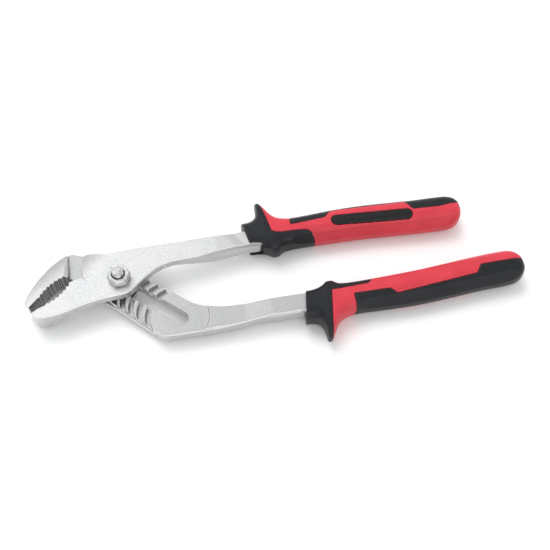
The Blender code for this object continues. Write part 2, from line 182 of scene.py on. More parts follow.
def smooth(points, steps=8):
    """A Catmull-Rom curve through the points."""
    padded = [Vector(point) for point in (points[0], *points, points[-1])]
    made = []
    for a, b, c, d in zip(padded, padded[1:], padded[2:], padded[3:]):
        for step in range(steps):
            f = step / steps
            bend = (2 * a - 5 * b + 4 * c - d) * f**2 + (3 * b - a - 3 * c + d) * f**3
            made.append(tuple(0.5 * (2 * b + (c - a) * f + bend)))
    return [*made, points[-1]]


def serrated(start, end, hollow, count, depth):
    """Teeth along a shallow arc. The arc lies to the left of start-end by hollow, the tips to the right."""
    length = hypot(end[0] - start[0], end[1] - start[1])
    ahead = ((end[0] - start[0]) / length, (end[1] - start[1]) / length)
    left = (-ahead[1], ahead[0])
    made = []
    for i in range(2 * count + 1):
        f = i / (2 * count)
        aside = 4 * hollow * f * (1 - f) - (depth if i % 2 else 0.0)
        made.append(tuple(start[k] + ahead[k] * length * f + left[k] * aside for k in (0, 1)))
    return made


# --- solids -----------------------------------------------------------------------------------------


def link(name, mesh, place=None):
    obj = bpy.data.objects.new(name, mesh)
    bpy.context.scene.collection.objects.link(obj)
    if place is not None:
        obj.matrix_world = place
    return obj


def bake(obj):
    """Applies the object's modifiers."""
    bpy.context.view_layer.update()
    done = bpy.data.meshes.new_from_object(obj.evaluated_get(bpy.context.evaluated_depsgraph_get()))
    obj.modifiers.clear()
    old = obj.data
    obj.data = done
    bpy.data.meshes.remove(old)
    return obj


def plate(name, outline, low, high):
    """A flat outline as a solid between two heights."""
    curve = bpy.data.curves.new(name, "CURVE")
    curve.dimensions = "2D"
    curve.fill_mode = "BOTH"
    curve.extrude = (high - low) / 2 * MM
    spline = curve.splines.new("POLY")
    spline.points.add(len(outline) - 1)
    for point, (x, y) in zip(spline.points, outline):
        point.co = (x * MM, y * MM, 0.0, 1.0)
    spline.use_cyclic_u = True
    drawn = link(name + "_curve", curve, Matrix.Translation((0, 0, (low + high) / 2 * MM)))
    bpy.context.view_layer.update()
    mesh = bpy.data.meshes.new_from_object(drawn.evaluated_get(bpy.context.evaluated_depsgraph_get()))
    shape = bmesh.new()
    shape.from_mesh(mesh)
    bmesh.ops.remove_doubles(shape, verts=shape.verts, dist=1e-6)
    shape.transform(drawn.matrix_world)
    bmesh.ops.recalc_face_normals(shape, faces=shape.faces)
    shape.to_mesh(mesh)
    shape.free()
    bpy.data.objects.remove(drawn, do_unlink=True)
    bpy.data.curves.remove(curve)
    return link(name, mesh)


def side_plate(name, outline, reach):
    """An outline of X and Z as a solid that spans Y from -reach to reach."""
    obj = plate(name, outline, -reach, reach)
    obj.data.transform(Matrix.Rotation(pi / 2, 4, "X"))
    return obj


def fall_cutter(start, heading, profile, reach):
    """A cutter over a surface that falls away from start. The profile gives distance and height."""
    top = [(profile[-1][0], CLEAR), (profile[0][0], CLEAR)]
    obj = side_plate("fall", [*profile, *top], reach)
    obj.data.transform(Matrix.Rotation(heading, 4, "Z"))
    obj.data.transform(Matrix.Translation((start[0] * MM, start[1] * MM, 0.0)))
    return obj


def turned(name, profile, steps=96):
    """A solid of revolution about Z from a profile of radius and height, top to bottom."""
    mesh = bpy.data.meshes.new(name)
    shape = bmesh.new()
    row = [shape.verts.new((radius * MM, 0.0, height * MM)) for radius, height in profile]
    for a, b in zip(row, row[1:]):
        shape.edges.new((a, b))
    shape.to_mesh(mesh)
    shape.free()
    obj = link(name, mesh)
    screw = obj.modifiers.new("turn", "SCREW")
    screw.steps = steps
    screw.render_steps = steps
    screw.use_merge_vertices = True
    screw.merge_threshold = 1e-6
    return bake(obj)


def combine(obj, other, operation, keep_other=False):
    change = obj.modifiers.new(operation, "BOOLEAN")
    change.operation = operation
    change.solver = "EXACT"
    change.object = other
    bake(obj)
    if not keep_other:
        bpy.data.objects.remove(other, do_unlink=True)
    return obj


def cut(obj, cutter, keep_other=False):
    return combine(obj, cutter, "DIFFERENCE", keep_other)


def join(obj, other):
    return combine(obj, other, "UNION")


def keep_within(obj, region, keep_other=False):
    return combine(obj, region, "INTERSECT", keep_other)


def copy_of(obj, name):
    return link(name, obj.data.copy())


def soften(obj, grain):
    """Even faces all over, edges rounded as on a forging or a moulding, then fewer faces on the flats."""
    size, rounds, share = grain
    skin = obj.modifiers.new("skin", "REMESH")
    skin.mode = "VOXEL"
    skin.voxel_size = size * MM
    skin.adaptivity = 0.0
    relax = obj.modifiers.new("relax", "SMOOTH")
    relax.factor = 0.5
    relax.iterations = rounds
    bake(obj)
    thin = obj.modifiers.new("thin", "DECIMATE")
    thin.ratio = share
    bake(obj)
    obj.data.shade_smooth()
    obj.modifiers.new("even", "WEIGHTED_NORMAL").weight = 80
    return bake(obj)


# --- sleeve geometry, in the sleeve's own frame: X along it, Y to the outer side ----------------------


def signed_power(value, power):
    return abs(value) ** power * (1 if value >= 0 else -1)


def eased(value, low, high):
    f = min(max((value - low) / (high - low), 0.0), 1.0)
    return f * f * (3 - 2 * f)


# flats planed off the rounded section, as a normal and its distance, in shares of the section's reach
BADGE_FLATS = ((-0.5145, 0.8575, 0.935), (-0.826, 0.563, 0.885))
PLAIN_FLATS = ((0.40, -0.917, 0.985), (0.86, -0.51, 0.925))


def section_point(angle, place):
    """A point of the sleeve's section from -1 to 1 both ways: a rounded box with two creases along it."""
    across = signed_power(cos(angle), 0.7)
    up = signed_power(sin(angle), 0.7)
    fade = 0.35 * (1 - eased(place, 20.0, 36.0)) + 0.2 * eased(place, CAP_START, SLEEVE_END)
    for flats, side, face in ((BADGE_FLATS, -1, 1), (PLAIN_FLATS, 1, -1)):
        if across * side < 0 or up * face < 0:
            continue
        for x, z, distance in flats:
            far = (across * x + up * z) / (distance + fade)
            if far > 1:
                across /= far
                up /= far
    return across, up


def sleeve_body(name, inset=0.0):
    """The whole outer form of a sleeve as a fine loft, or that form shrunk by inset."""
    shape = bmesh.new()
    rings = []
    for place, inner, outer, half, lean in smooth(SLEEVE_SECTIONS, 6):
        middle = 1.0
        ring = []
        for i in range(RING_POINTS):
            across, up = section_point(2 * pi * (i + 0.5) / RING_POINTS, place)
            reach = (outer - middle if across > 0 else middle - inner) - inset
            aside = middle + max(reach, 0.4) * across
            height = max(half - inset, 0.4) * up
            back = place - inset * max(0.0, (place - CAP_START) / (SLEEVE_END - CAP_START))
            ring.append(shape.verts.new(((back - lean * aside) * MM, aside * MM, height * MM)))
        rings.append(ring)
    for a, b in zip(rings, rings[1:]):
        for i in range(RING_POINTS):
            j = (i + 1) % RING_POINTS
            shape.faces.new((a[i], a[j], b[j], b[i]))
    shape.faces.new(rings[0])
    shape.faces.new(rings[-1])
    bmesh.ops.recalc_face_normals(shape, faces=shape.faces)
    bmesh.ops.triangulate(shape, faces=shape.faces)
    mesh = bpy.data.meshes.new(name)
    shape.to_mesh(mesh)
    shape.free()
    return link(name, mesh)


def outer_panel_outline(grow, face):
    """Wide behind the guard and at the rear, narrow along the middle where the hand closes."""
    if face == BADGE_FACE:
        edge = [(28.0, 2.9), (49.6, 4.8), (54.0, 9.6), (100.6, 8.8), (104.6, 2.0), (121.0, 1.4), (134.0, 3.4)]
    else:
        edge = [(28.8, 1.4), (50.6, 2.6), (54.4, 6.1), (104.0, 3.8), (108.0, -1.2), (134.0, -0.6)]
    start = edge[0][0] - grow
    grown = [(start, edge[0][1] - grow), *((s, t - grow) for s, t in edge[1:])]
    return [*grown, (FAR, edge[-1][1]), (FAR, CLEAR), (start, CLEAR)]


def inner_panel_outline(grow, face):
    """A tongue of the collar that runs back along the inner side, deeper on the badge's face."""
    if face == BADGE_FACE:
        rise = smooth([(14.6, 1.0), (17.0, -0.6), (21.2, -1.5), (33.0, -1.6), (37.6, -2.0), (40.0, -3.6)], 6)
        edge = [(10.0, 1.0), *rise]
    else:
        edge = [(10.0, -3.8), (38.4, -3.8), (40.4, -4.9)]
    end = 41.4 + grow
    return [*((s, t + grow) for s, t in edge), (end, -7.0), (end, -CLEAR), (10.0, -CLEAR)]


def badge_outline(grow):
    return round_ended((56.4, 1.7), (100.4, -0.6), 3.3 + grow)


def front_block(name, place, backwards):
    """Everything on one side of the leaning plane at place."""
    reach = 2 * CLEAR
    outline = [
        (place - GUARD_LEAN * reach, reach),
        (place + GUARD_LEAN * reach, -reach),
        (place + backwards * FAR, -reach),
        (place + backwards * FAR, reach),
    ]
    return plate(name, outline, -CLEAR, CLEAR)


def sleeve_passage(arm_edge):
    """The room inside the sleeve for the arm, which narrows to its tang, open on the collar's inner side."""
    low, high = TANG[0] - ROOM, TANG[1] + ROOM
    outline = [
        (-5.0, COLLAR_ARM - ROOM),
        (7.5, COLLAR_ARM - ROOM),
        (TANG_START, low),
        (TANG_LENGTH + ROOM, low),
        (TANG_LENGTH + ROOM, high),
        (TANG_START, high),
        (8.0, arm_edge),
        (-5.0, arm_edge),
    ]
    tang = plate("tang_room", outline, -TANG_HALF_HEIGHT - ROOM, TANG_HALF_HEIGHT + ROOM)
    inner = COLLAR_ARM - ROOM
    mouth = [(-5.0, inner), (9.5, inner), (9.5, arm_edge), (-5.0, arm_edge)]
    return join(tang, plate("mouth_room", mouth, -TANG_HALF_HEIGHT - ROOM, COLLAR_ARM_TOP))


def two_faced(name, outline_of, grow=0.0):
    """A block whose outline differs on the sleeve's two faces, joined a little past the middle."""
    upper = plate(name, outline_of(grow, BADGE_FACE), -grow, CLEAR)
    return join(upper, plate("lower_part", outline_of(grow, PLAIN_FACE), -CLEAR, FACE_OVERLAP + grow))


def sleeve_pieces(prefix, arm_edge):
    """The four pieces of one sleeve, in the sleeve's own frame."""
    whole = sleeve_body("whole")
    under_skin = sleeve_body("under_skin", SKIN)
    pocket_floor = sleeve_body("pocket_floor", SKIN + SEAM)

    core = keep_within(copy_of(whole, prefix + "_core_shell"), front_block("rear", GUARD_BACK + SEAM, 1))
    for outline_of in (outer_panel_outline, inner_panel_outline):
        cut(core, cut(two_faced("pocket", outline_of, SEAM), pocket_floor, True))
    cut(core, cut(plate("pocket", badge_outline(SEAM), 0.0, CLEAR), pocket_floor, True))
    cut(core, sleeve_passage(arm_edge))

    guard = keep_within(copy_of(whole, prefix + "_collar_shell"), front_block("front", GUARD_BACK, -1))
    inner = keep_within(two_faced("inner_panel", inner_panel_outline), whole, True)
    join(guard, cut(inner, under_skin, True))
    cut(guard, sleeve_passage(arm_edge))

    outer = keep_within(two_faced(prefix + "_panel_shell", outer_panel_outline), whole, True)
    cut(outer, under_skin, True)
    badge = keep_within(plate(prefix + "_badge_shell", badge_outline(0.0), 0.0, CLEAR), whole, True)
    cut(badge, under_skin, True)
    for done in (whole, under_skin, pocket_floor):
        bpy.data.objects.remove(done, do_unlink=True)
    return core, guard, outer, badge


def sleeve_place(at, turn, flipped):
    place = Matrix.Translation((at[0] * MM, at[1] * MM, SLEEVE_MIDDLE * MM)) @ Matrix.Rotation(turn, 4, "Z")
    return place @ Matrix.Rotation(pi, 4, "X") if flipped else place


UPPER_SLEEVE = sleeve_place(UPPER_SLEEVE_AT, UPPER_SLEEVE_TURN, False)
LOWER_SLEEVE = sleeve_place(LOWER_SLEEVE_AT, LOWER_SLEEVE_TURN, True)


def tang_corners(place):
    corners = ((TANG_START, TANG[0]), (TANG_LENGTH, TANG[0]), (TANG_LENGTH, TANG[1]), (TANG_START, TANG[1]))
    points = [place @ Vector((along * MM, aside * MM, 0.0)) for along, aside in corners]
    return [(point.x / MM, point.y / MM) for point in points]


# --- steel halves -----------------------------------------------------------------------------------

TOP_FALL = ((-6.0, FACE + 0.01), (-3.0, 5.9), (0.0, 5.55), (3.0, 4.95), (6.0, 4.2), (14.0, 1.9))


def tongue_half():
    """Lower jaw, joint plate with the tongue under it, and the upper handle's arm with its tang."""
    jaw_back = [(-52.4, -16.4), (-50.4, -17.6), (-46.8, -18.0), (-40.2, -17.7), (-33.9, -16.6)]
    neck = [(-9.4, -11.4), (1.5, -10.7), (6.2, -8.9), (11.9, -4.3)]
    throat = [(18.0, 0.4), (23.3, 3.6), (29.9, 5.7), (38.0, 6.4)]
    arm = [(55.6, 7.2), (70.0, 9.0), (78.0, 9.7), (86.0, 10.0)]
    outline = [
        *smooth([*jaw_back, (-22.1, -13.5), *neck, *throat, *arm]),
        *tang_corners(UPPER_SLEEVE),
        (87.0, 20.6),
        (80.0, 20.4),
        (66.0, 19.4),
        *smooth([(10.0, 18.9), (-4.0, 18.3), (-9.0, 18.9), (-13.8, 20.6), (-18.8, 21.3), (-21.2, 20.0)]),
        (-21.9, 17.6),
        (-21.9, 4.4),
        (-24.5, 4.6),
        (-27.6, 3.4),
        *serrated((-28.4, 3.0), (-44.6, -10.0), 1.9, 7, 1.15),
        (-48.7, -11.3),
        (-53.1, -13.8),
    ]
    half = plate("tongue_half_forging", outline, BACK - 1, FACE + 1)
    tooth_root = plate("tooth_root", [(-33.2, -1.0), (-44.2, -9.7), (-44.8, -11.6), (-36.0, -8.0)], -6.0, 0.5)
    side = [
        (-60.0, FACE),
        (60.0, FACE),
        (80.0, 4.6),
        (88.0, SLEEVE_MIDDLE + TANG_HALF_HEIGHT),
        (200.0, SLEEVE_MIDDLE + TANG_HALF_HEIGHT),
        (200.0, SLEEVE_MIDDLE - TANG_HALF_HEIGHT),
        (90.0, SLEEVE_MIDDLE - TANG_HALF_HEIGHT),
        (80.0, -5.0),
        (60.0, -5.4),
        (33.0, UNDERSIDE),
        (-35.5, UNDERSIDE),
        (-37.5, -1.5),
        (-44.5, BACK),
        (-60.0, BACK),
    ]
    keep_within(half, side_plate("tongue_side", side, 3 * CLEAR))
    cut(half, fall_cutter((-12.9, 12.9), radians(132), TOP_FALL, 12.5))
    # the arm thins towards the collar across a slanting crease
    crease = [(0.0, 5.55), (5.0, 4.5), (6.0, 4.4), (40.0, 4.1)]
    cut(half, fall_cutter((66.9, 15.9), radians(32), crease, CLEAR))
    # a bevel along the arm's lower edge, wider towards the collar
    cut(half, fall_cutter((66.0, 10.0), radians(-80.7), [(-0.3, 6.4), (2.6, 1.2), (7.0, -6.0)], 24.0))
    join(half, tooth_root)
    ridge = ring_sector((0, 0), GROOVE_RADIUS, TONGUE_WIDTH, SLOT_ANGLE + pi, TONGUE_SPREAD, 24)
    join(half, plate("ridge", ridge, -TONGUE_DEPTH, UNDERSIDE + 1))
    return cut(half, bore_cutter(BORE_RADIUS))


def bore_cutter(radius):
    return plate("bore", arc((0, 0), radius, 0, 2 * pi * 63 / 64, 63), -CLEAR, CLEAR)


def grooved_half():
    """Upper jaw, slotted joint plate with the grooves, and the lower handle's arm with its tang."""
    back = [(-15.0, 21.6), (-21.7, 22.5), (-26.4, 24.4), (-28.8, 24.6), (-31.4, 22.4), (-34.4, 21.0)]
    jaw_back = [(-40.2, 17.1), (-44.3, 12.9), (-48.8, 7.9), (-52.8, 2.1), (-56.0, -3.7)]
    arm_top = [(104.0, -26.8), (90.0, -26.6), (70.0, -26.9)]
    throat = [(57.0, -26.1), (48.4, -23.9), (41.2, -20.8), (35.9, -16.9)]
    arm_low = [(22.6, -39.2), (26.0, -39.5), (44.0, -39.7), (58.0, -39.5), (70.0, -38.6), (82.0, -37.8)]
    outline = [
        (-54.6, -10.4),
        (-49.4, -5.4),
        *serrated((-48.8, -4.6), (-30.2, 8.3), 2.4, 8, 1.15),
        (-27.8, 6.4),
        (-6.0, -13.6),
        *smooth([(18.4, -36.8), (20.2, -38.3), *arm_low, (112.0, -38.2)]),
        *reversed(tang_corners(LOWER_SLEEVE)),
        (114.0, -27.0),
        *smooth([*arm_top, *throat]),
        (-4.5, 18.6),
        (-8.0, 20.4),
        *smooth([*back, *jaw_back]),
        (-56.9, -6.4),
    ]
    half = plate("grooved_half_forging", outline, BACK - 1, FACE + 1)
    side = [
        (-70.0, FACE),
        (-33.2, FACE),
        (-30.1, 3.5),
        (-29.9, 0.0),
        (40.0, 0.0),
        (40.0, ARM_STEP),
        (70.5, ARM_STEP),
        (86.5, SLEEVE_MIDDLE + TANG_HALF_HEIGHT - 0.05),
        (97.0, SLEEVE_MIDDLE + TANG_HALF_HEIGHT),
        (230.0, SLEEVE_MIDDLE + TANG_HALF_HEIGHT),
        (230.0, SLEEVE_MIDDLE - TANG_HALF_HEIGHT),
        (115.5, SLEEVE_MIDDLE - TANG_HALF_HEIGHT),
        (112.0, BACK),
        (-70.0, BACK),
    ]
    keep_within(half, side_plate("grooved_side", side, 3 * CLEAR))
    cut(half, fall_cutter((-31.3, 9.9), radians(124.8), TOP_FALL, 3 * CLEAR))
    # a bevel along the arm's lower edge, from the plate to the collar
    cut(half, fall_cutter((76.0, -38.2), radians(-82.0), [(-0.3, 2.4), (2.2, -2.0), (5.0, -8.5)], 10.6))
    cut(half, fall_cutter((95.6, -36.8), radians(-91.0), [(0.0, 2.6), (2.2, -2.0), (5.0, -8.5)], 10.2))
    # a small chamfer along the plate's lower edge
    cut(half, fall_cutter((44.0, -38.7), radians(-90.3), [(-0.6, 1.0), (2.4, -1.7)], 24.0))
    last = along_slot(PITCH * (POSITIONS - 1))
    cut(half, plate("step", arc(last, STEP_RADIUS, 0, 2 * pi * 95 / 96, 95), 0.0, CLEAR))
    rim = [along_slot(-3.0, -20.0), along_slot(33.5, -20.0), along_slot(33.5, -14.0), along_slot(-3.0, -12.3)]
    cut(half, plate("rim", rim, -5.2, 2.0))
    for number in range(POSITIONS):
        centre = along_slot(PITCH * number)
        band = ring_sector(centre, GROOVE_RADIUS, GROOVE_WIDTH, SLOT_ANGLE + pi, GROOVE_SPREAD, 48)
        cut(half, plate("groove", band, GROOVE_FLOOR, 2.0))
    ends = along_slot(SLOT_START), along_slot(PITCH * (POSITIONS - 1) - SLOT_START)
    return cut(half, plate("slot", round_ended(*ends, SLOT_WIDTH / 2), -CLEAR, CLEAR))


# --- pivot ------------------------------------------------------------------------------------------


def pivot_bolt():
    """Low round head, flat-sided neck, threaded shank and its chamfered end."""
    turns = int((STUB_TOP - 1.1 - FACE) / THREAD_PITCH)
    thread = []
    for number in range(turns):
        top = STUB_TOP - 1.1 - number * THREAD_PITCH
        thread += [(STUB_RADIUS - THREAD_DEPTH, top), (STUB_RADIUS, top - THREAD_PITCH / 2)]
    profile = (
        (0.0, STUB_TOP),
        (STUB_RADIUS - 0.9, STUB_TOP),
        (STUB_RADIUS - 0.7, STUB_TOP - 0.08),
        (STUB_RADIUS - 0.1, STUB_TOP - 0.9),
        *thread,
        (SHANK_RADIUS - 0.1, FACE - 1.0),
        (SHANK_RADIUS - 0.1, -0.6),
        (NECK_RADIUS, -0.9),
        (NECK_RADIUS, BACK - ROOM),
        (HEAD_RADIUS - 0.3, BACK - ROOM),
        (HEAD_RADIUS, BACK - ROOM - 0.3),
        (HEAD_RADIUS, REST + 1.0),
        (HEAD_RADIUS - 0.3, REST + 0.35),
        (HEAD_RADIUS - 1.0, REST),
        (0.0, REST),
    )
    bolt = turned("pivot_bolt_turned", profile)
    for side in (SHANK_RADIUS, -SHANK_RADIUS):
        near = [along_slot(-HEAD_RADIUS, side), along_slot(HEAD_RADIUS, side)]
        far = [along_slot(HEAD_RADIUS, 2 * side), along_slot(-HEAD_RADIUS, 2 * side)]
        cut(bolt, plate("flat", near + far, BACK - ROOM, FACE - 2))
    return bolt


def pivot_nut():
    corner = NUT_ACROSS_FLATS / 2 / cos(pi / 6)
    hexagon = arc((0, 0), corner, NUT_TURN, NUT_TURN + 2 * pi * 5 / 6, 5)
    nut = plate("pivot_nut_hexagon", hexagon, NUT_BASE, NUT_TOP)
    profile = (
        (0.0, NUT_TOP + 1),
        (NUT_ACROSS_FLATS / 2 - 0.35, NUT_TOP + 1),
        (NUT_ACROSS_FLATS / 2 - 0.35, NUT_TOP),
        (corner + 0.1, NUT_TOP - 1.25),
        (corner + 0.1, NUT_BASE + 0.9),
        (NUT_ACROSS_FLATS / 2 - 0.3, NUT_BASE),
        (0.0, NUT_BASE),
    )
    keep_within(nut, turned("chamfer", profile))
    top, bottom = NUT_BASE + 1, FACE + 0.12
    foot = ((0.0, top), (NUT_FOOT_RADIUS, top), (NUT_FOOT_RADIUS, bottom), (0.0, bottom))
    join(nut, turned("foot", foot))
    mouth = turned("mouth", ((0.0, NUT_TOP + 1), (SHANK_RADIUS + 1.4, NUT_TOP + 1), (0.0, NUT_TOP - 4.2)))
    cut(nut, mouth)
    return cut(nut, bore_cutter(SHANK_RADIUS + 0.12))


# --- materials --------------------------------------------------------------------------------------

# the jaws' mouth, which is darkened with painted shade, and how much darker the flanks are painted than the
# faces that look up, as painted shade
MOUTH_MIDDLE = (-41.0, -1.9)
MOUTH_TURN = radians(38)
MOUTH_REACH = (16.5, 8.6)
FLANK_PAINTED_SHADE = 0.80


class Surface:
    """A material with a Principled shader, and short ways to add nodes to it."""

    def __init__(self, name, roughness, metallic, specular=0.5):
        self.made = bpy.data.materials.new(name)
        self.made.use_nodes = True
        self.tree = self.made.node_tree
        self.shader = self.tree.nodes["Principled BSDF"]
        self.shader.inputs["Roughness"].default_value = roughness
        self.shader.inputs["Metallic"].default_value = metallic
        self.shader.inputs["Specular IOR Level"].default_value = specular
        self.place = self.add("ShaderNodeTexCoord").outputs["Object"]

    def add(self, kind, **settings):
        node = self.tree.nodes.new(kind)
        for name, value in settings.items():
            setattr(node, name, value)
        return node

    def wire(self, source, target):
        self.tree.links.new(source, target)

    def noise(self, scale, detail=3.0, rough=0.55):
        node = self.add("ShaderNodeTexNoise")
        node.inputs["Scale"].default_value = scale
        node.inputs["Detail"].default_value = detail
        node.inputs["Roughness"].default_value = rough
        self.wire(self.place, node.inputs["Vector"])
        return node.outputs["Fac"]

    def part_of(self, vector, letter):
        node = self.add("ShaderNodeSeparateXYZ")
        self.wire(vector, node.inputs["Vector"])
        return node.outputs[letter]

    def ranged(self, source, low, high):
        """How far a value lies between two others, from 0 to 1."""
        node = self.add("ShaderNodeMapRange", interpolation_type="SMOOTHSTEP")
        node.inputs["From Min"].default_value = low
        node.inputs["From Max"].default_value = high
        self.wire(source, node.inputs["Value"])
        return node.outputs["Result"]

    def ramp(self, source, stops):
        node = self.add("ShaderNodeValToRGB")
        node.color_ramp.elements[0].position = stops[0][0]
        node.color_ramp.elements[0].color = grey_or_colour(stops[0][1])
        node.color_ramp.elements[1].position = stops[-1][0]
        node.color_ramp.elements[1].color = grey_or_colour(stops[-1][1])
        for position, colour in stops[1:-1]:
            node.color_ramp.elements.new(position).color = grey_or_colour(colour)
        self.wire(source, node.inputs["Fac"])
        return node.outputs["Color"]

    def mixed(self, first, second, share, blend="MIX"):
        node = self.add("ShaderNodeMix", data_type="RGBA", blend_type=blend)
        for socket, value in ((node.inputs[6], first), (node.inputs[7], second), (node.inputs[0], share)):
            if isinstance(value, bpy.types.NodeSocket):
                self.wire(value, socket)
            elif socket.type == "RGBA":
                socket.default_value = grey_or_colour(value)
            else:
                socket.default_value = value
        return node.outputs[2]

    def bump(self, heights):
        """Heights as pairs of a source and its depth in millimetres, one bump after another."""
        normal = None
        for source, depth in heights:
            node = self.add("ShaderNodeBump")
            node.inputs["Distance"].default_value = depth * MM
            self.wire(source, node.inputs["Height"])
            if normal is not None:
                self.wire(normal, node.inputs["Normal"])
            normal = node.outputs["Normal"]
        self.wire(normal, self.shader.inputs["Normal"])


def mouth_painted_shade(s):
    """Painted shade in the jaws' mouth, with close painted bands of light and shade across it for the teeth,
    and white elsewhere.
    """
    mouth = s.add("ShaderNodeMapping", vector_type="TEXTURE")
    mouth.inputs["Location"].default_value = ORIGIN + Vector(MOUTH_MIDDLE).to_3d() * MM
    mouth.inputs["Rotation"].default_value = (0.0, 0.0, MOUTH_TURN)
    mouth.inputs["Scale"].default_value = (MOUTH_REACH[0] * MM, MOUTH_REACH[1] * MM, 1.0)
    s.wire(s.place, mouth.inputs["Vector"])
    nearness = s.add("ShaderNodeTexGradient", gradient_type="SPHERICAL")
    s.wire(mouth.outputs["Vector"], nearness.inputs["Vector"])
    bands = s.add("ShaderNodeTexWave", wave_type="BANDS", bands_direction="X")
    bands.inputs["Scale"].default_value = 4.2
    bands.inputs["Distortion"].default_value = 0.6
    s.wire(mouth.outputs["Vector"], bands.inputs["Vector"])
    dark = s.ramp(bands.outputs["Fac"], ((0.2, 0.30), (0.8, 0.80)))
    return s.mixed(1.0, dark, s.ranged(nearness.outputs["Fac"], 0.02, 0.14))


def grey_or_colour(value):
    return (value, value, value, 1.0) if isinstance(value, (int, float)) else (*value, 1.0)


def satin_steel(name):
    """Pearl chrome over a blasted forging: a fine speckle and faint clouds, with a painted highlight that
    makes bends brighter than flats, and painted shade in creases, on flanks, on lower faces and in the jaws'
    mouth.
    """
    s = Surface(name, 0.36, 1.0)
    grain = s.noise(1700.0, 2.0, 0.7)
    clouds = s.noise(55.0, 3.0)
    sparkle = s.ramp(grain, ((0.30, 0.60), (0.5, 0.74), (0.72, 0.86)))
    tint = s.ramp(clouds, ((0.35, (0.95, 0.955, 0.97)), (0.65, (1.0, 0.995, 0.985))))
    toned = s.mixed(sparkle, tint, 1.0, "MULTIPLY")
    # painted highlight on the sharp bends and painted shade in the creases, both from how pointed the mesh
    # is, and neither on the flats that face up
    pointed = s.add("ShaderNodeNewGeometry").outputs["Pointiness"]
    edges = s.ramp(pointed, ((0.46, 0.0), (0.5, 0.5), (0.535, 1.0)))
    facing = s.part_of(s.add("ShaderNodeNewGeometry").outputs["Normal"], "Z")
    up = s.ranged(facing, 0.35, 0.75)
    edges = s.mixed(edges, 0.5, s.ranged(facing, 0.90, 0.97))
    # painted shade: faces lower than the top face are darker, on the recessed plate and valley and on the
    # falling jaw faces
    clear_of_painted_shade = s.ranged(s.part_of(s.place, "Z"), ORIGIN.z + 1.8 * MM, ORIGIN.z + 5.9 * MM)
    flats = s.mixed(s.mixed(toned, 0.74, 1.0, "MULTIPLY"), toned, clear_of_painted_shade)
    # painted shade: flanks darker than the faces that look up
    toned = s.mixed(s.mixed(toned, FLANK_PAINTED_SHADE, 1.0, "MULTIPLY"), flats, up)
    # painted shade in the jaws' mouth, except on the faces that look up near the top
    face = s.ranged(s.part_of(s.place, "Z"), ORIGIN.z + 0.8 * MM, ORIGIN.z + 1.5 * MM)
    below = s.mixed(1.0, 0.0, s.mixed(0.0, up, face))
    toned = s.mixed(toned, s.mixed(toned, mouth_painted_shade(s), 1.0, "MULTIPLY"), below)
    # painted shade in the creases
    low = s.mixed(toned, 0.45, s.ramp(edges, ((0.0, 0.55), (0.4, 0.0))))
    # painted highlight on the bends
    s.wire(s.mixed(low, 0.97, s.ramp(edges, ((0.62, 0.0), (1.0, 0.7)))), s.shader.inputs["Base Color"])
    s.wire(s.ramp(s.noise(900.0, 2.0), ((0.3, 0.30), (0.7, 0.44))), s.shader.inputs["Roughness"])
    s.bump(((grain, 0.018), (s.noise(260.0, 3.0), 0.04), (clouds, 0.10)))
    return s.made


def bright_steel(name):
    """Machined zinc plate: fine turning rings about the bolt's axis and light handling marks."""
    s = Surface(name, 0.30, 1.0)
    rings = s.add("ShaderNodeTexWave", wave_type="RINGS", rings_direction="Z")
    shift = s.add("ShaderNodeMapping")
    shift.inputs["Location"].default_value = tuple(-v for v in ORIGIN)
    s.wire(s.place, shift.inputs["Vector"])
    s.wire(shift.outputs["Vector"], rings.inputs["Vector"])
    rings.inputs["Scale"].default_value = 620.0
    rings.inputs["Distortion"].default_value = 1.2
    marks = s.noise(420.0, 4.0)
    colour = s.ramp(marks, ((0.3, (0.46, 0.47, 0.48)), (0.7, (0.76, 0.76, 0.75))))
    s.wire(colour, s.shader.inputs["Base Color"])
    s.wire(s.ramp(marks, ((0.3, 0.38), (0.7, 0.26))), s.shader.inputs["Roughness"])
    s.bump(((rings.outputs["Fac"], 0.006), (marks, 0.01)))
    return s.made


def red_plastic(name):
    """Moulded red plastic with a fine spark-eroded grain and faint clouds of colour."""
    s = Surface(name, 0.42, 0.0, 0.45)
    clouds = s.noise(70.0, 3.0)
    colour = s.ramp(clouds, ((0.3, (0.54, 0.026, 0.044)), (0.7, (0.62, 0.038, 0.058))))
    s.wire(colour, s.shader.inputs["Base Color"])
    s.wire(s.ramp(s.noise(600.0, 2.0), ((0.3, 0.36), (0.7, 0.50))), s.shader.inputs["Roughness"])
    s.shader.inputs["Subsurface Weight"].default_value = 0.04
    s.shader.inputs["Subsurface Radius"].default_value = (0.002, 0.0006, 0.0005)
    s.bump(((s.noise(1500.0, 2.0), 0.02), (clouds, 0.10)))
    return s.made


def black_rubber(name):
    """Soft-touch black elastomer with a fine grain, greyer along its sharp edges as a painted highlight."""
    s = Surface(name, 0.4, 0.0, 0.36)
    clouds = s.noise(60.0, 4.0)
    # painted highlight along the sharp edges
    painted_edge_highlight = s.ramp(s.add("ShaderNodeNewGeometry").outputs["Pointiness"], ((0.5, 0.0), (0.56, 1.0)))
    base = s.ramp(clouds, ((0.3, (0.003, 0.004, 0.006)), (0.7, (0.007, 0.008, 0.011))))
    s.wire(s.mixed(base, (0.020, 0.022, 0.026), painted_edge_highlight), s.shader.inputs["Base Color"])
    s.wire(s.ramp(s.noise(500.0, 2.0), ((0.3, 0.34), (0.7, 0.46))), s.shader.inputs["Roughness"])
    s.bump(((s.noise(1600.0, 2.0), 0.02), (clouds, 0.12)))
    return s.made


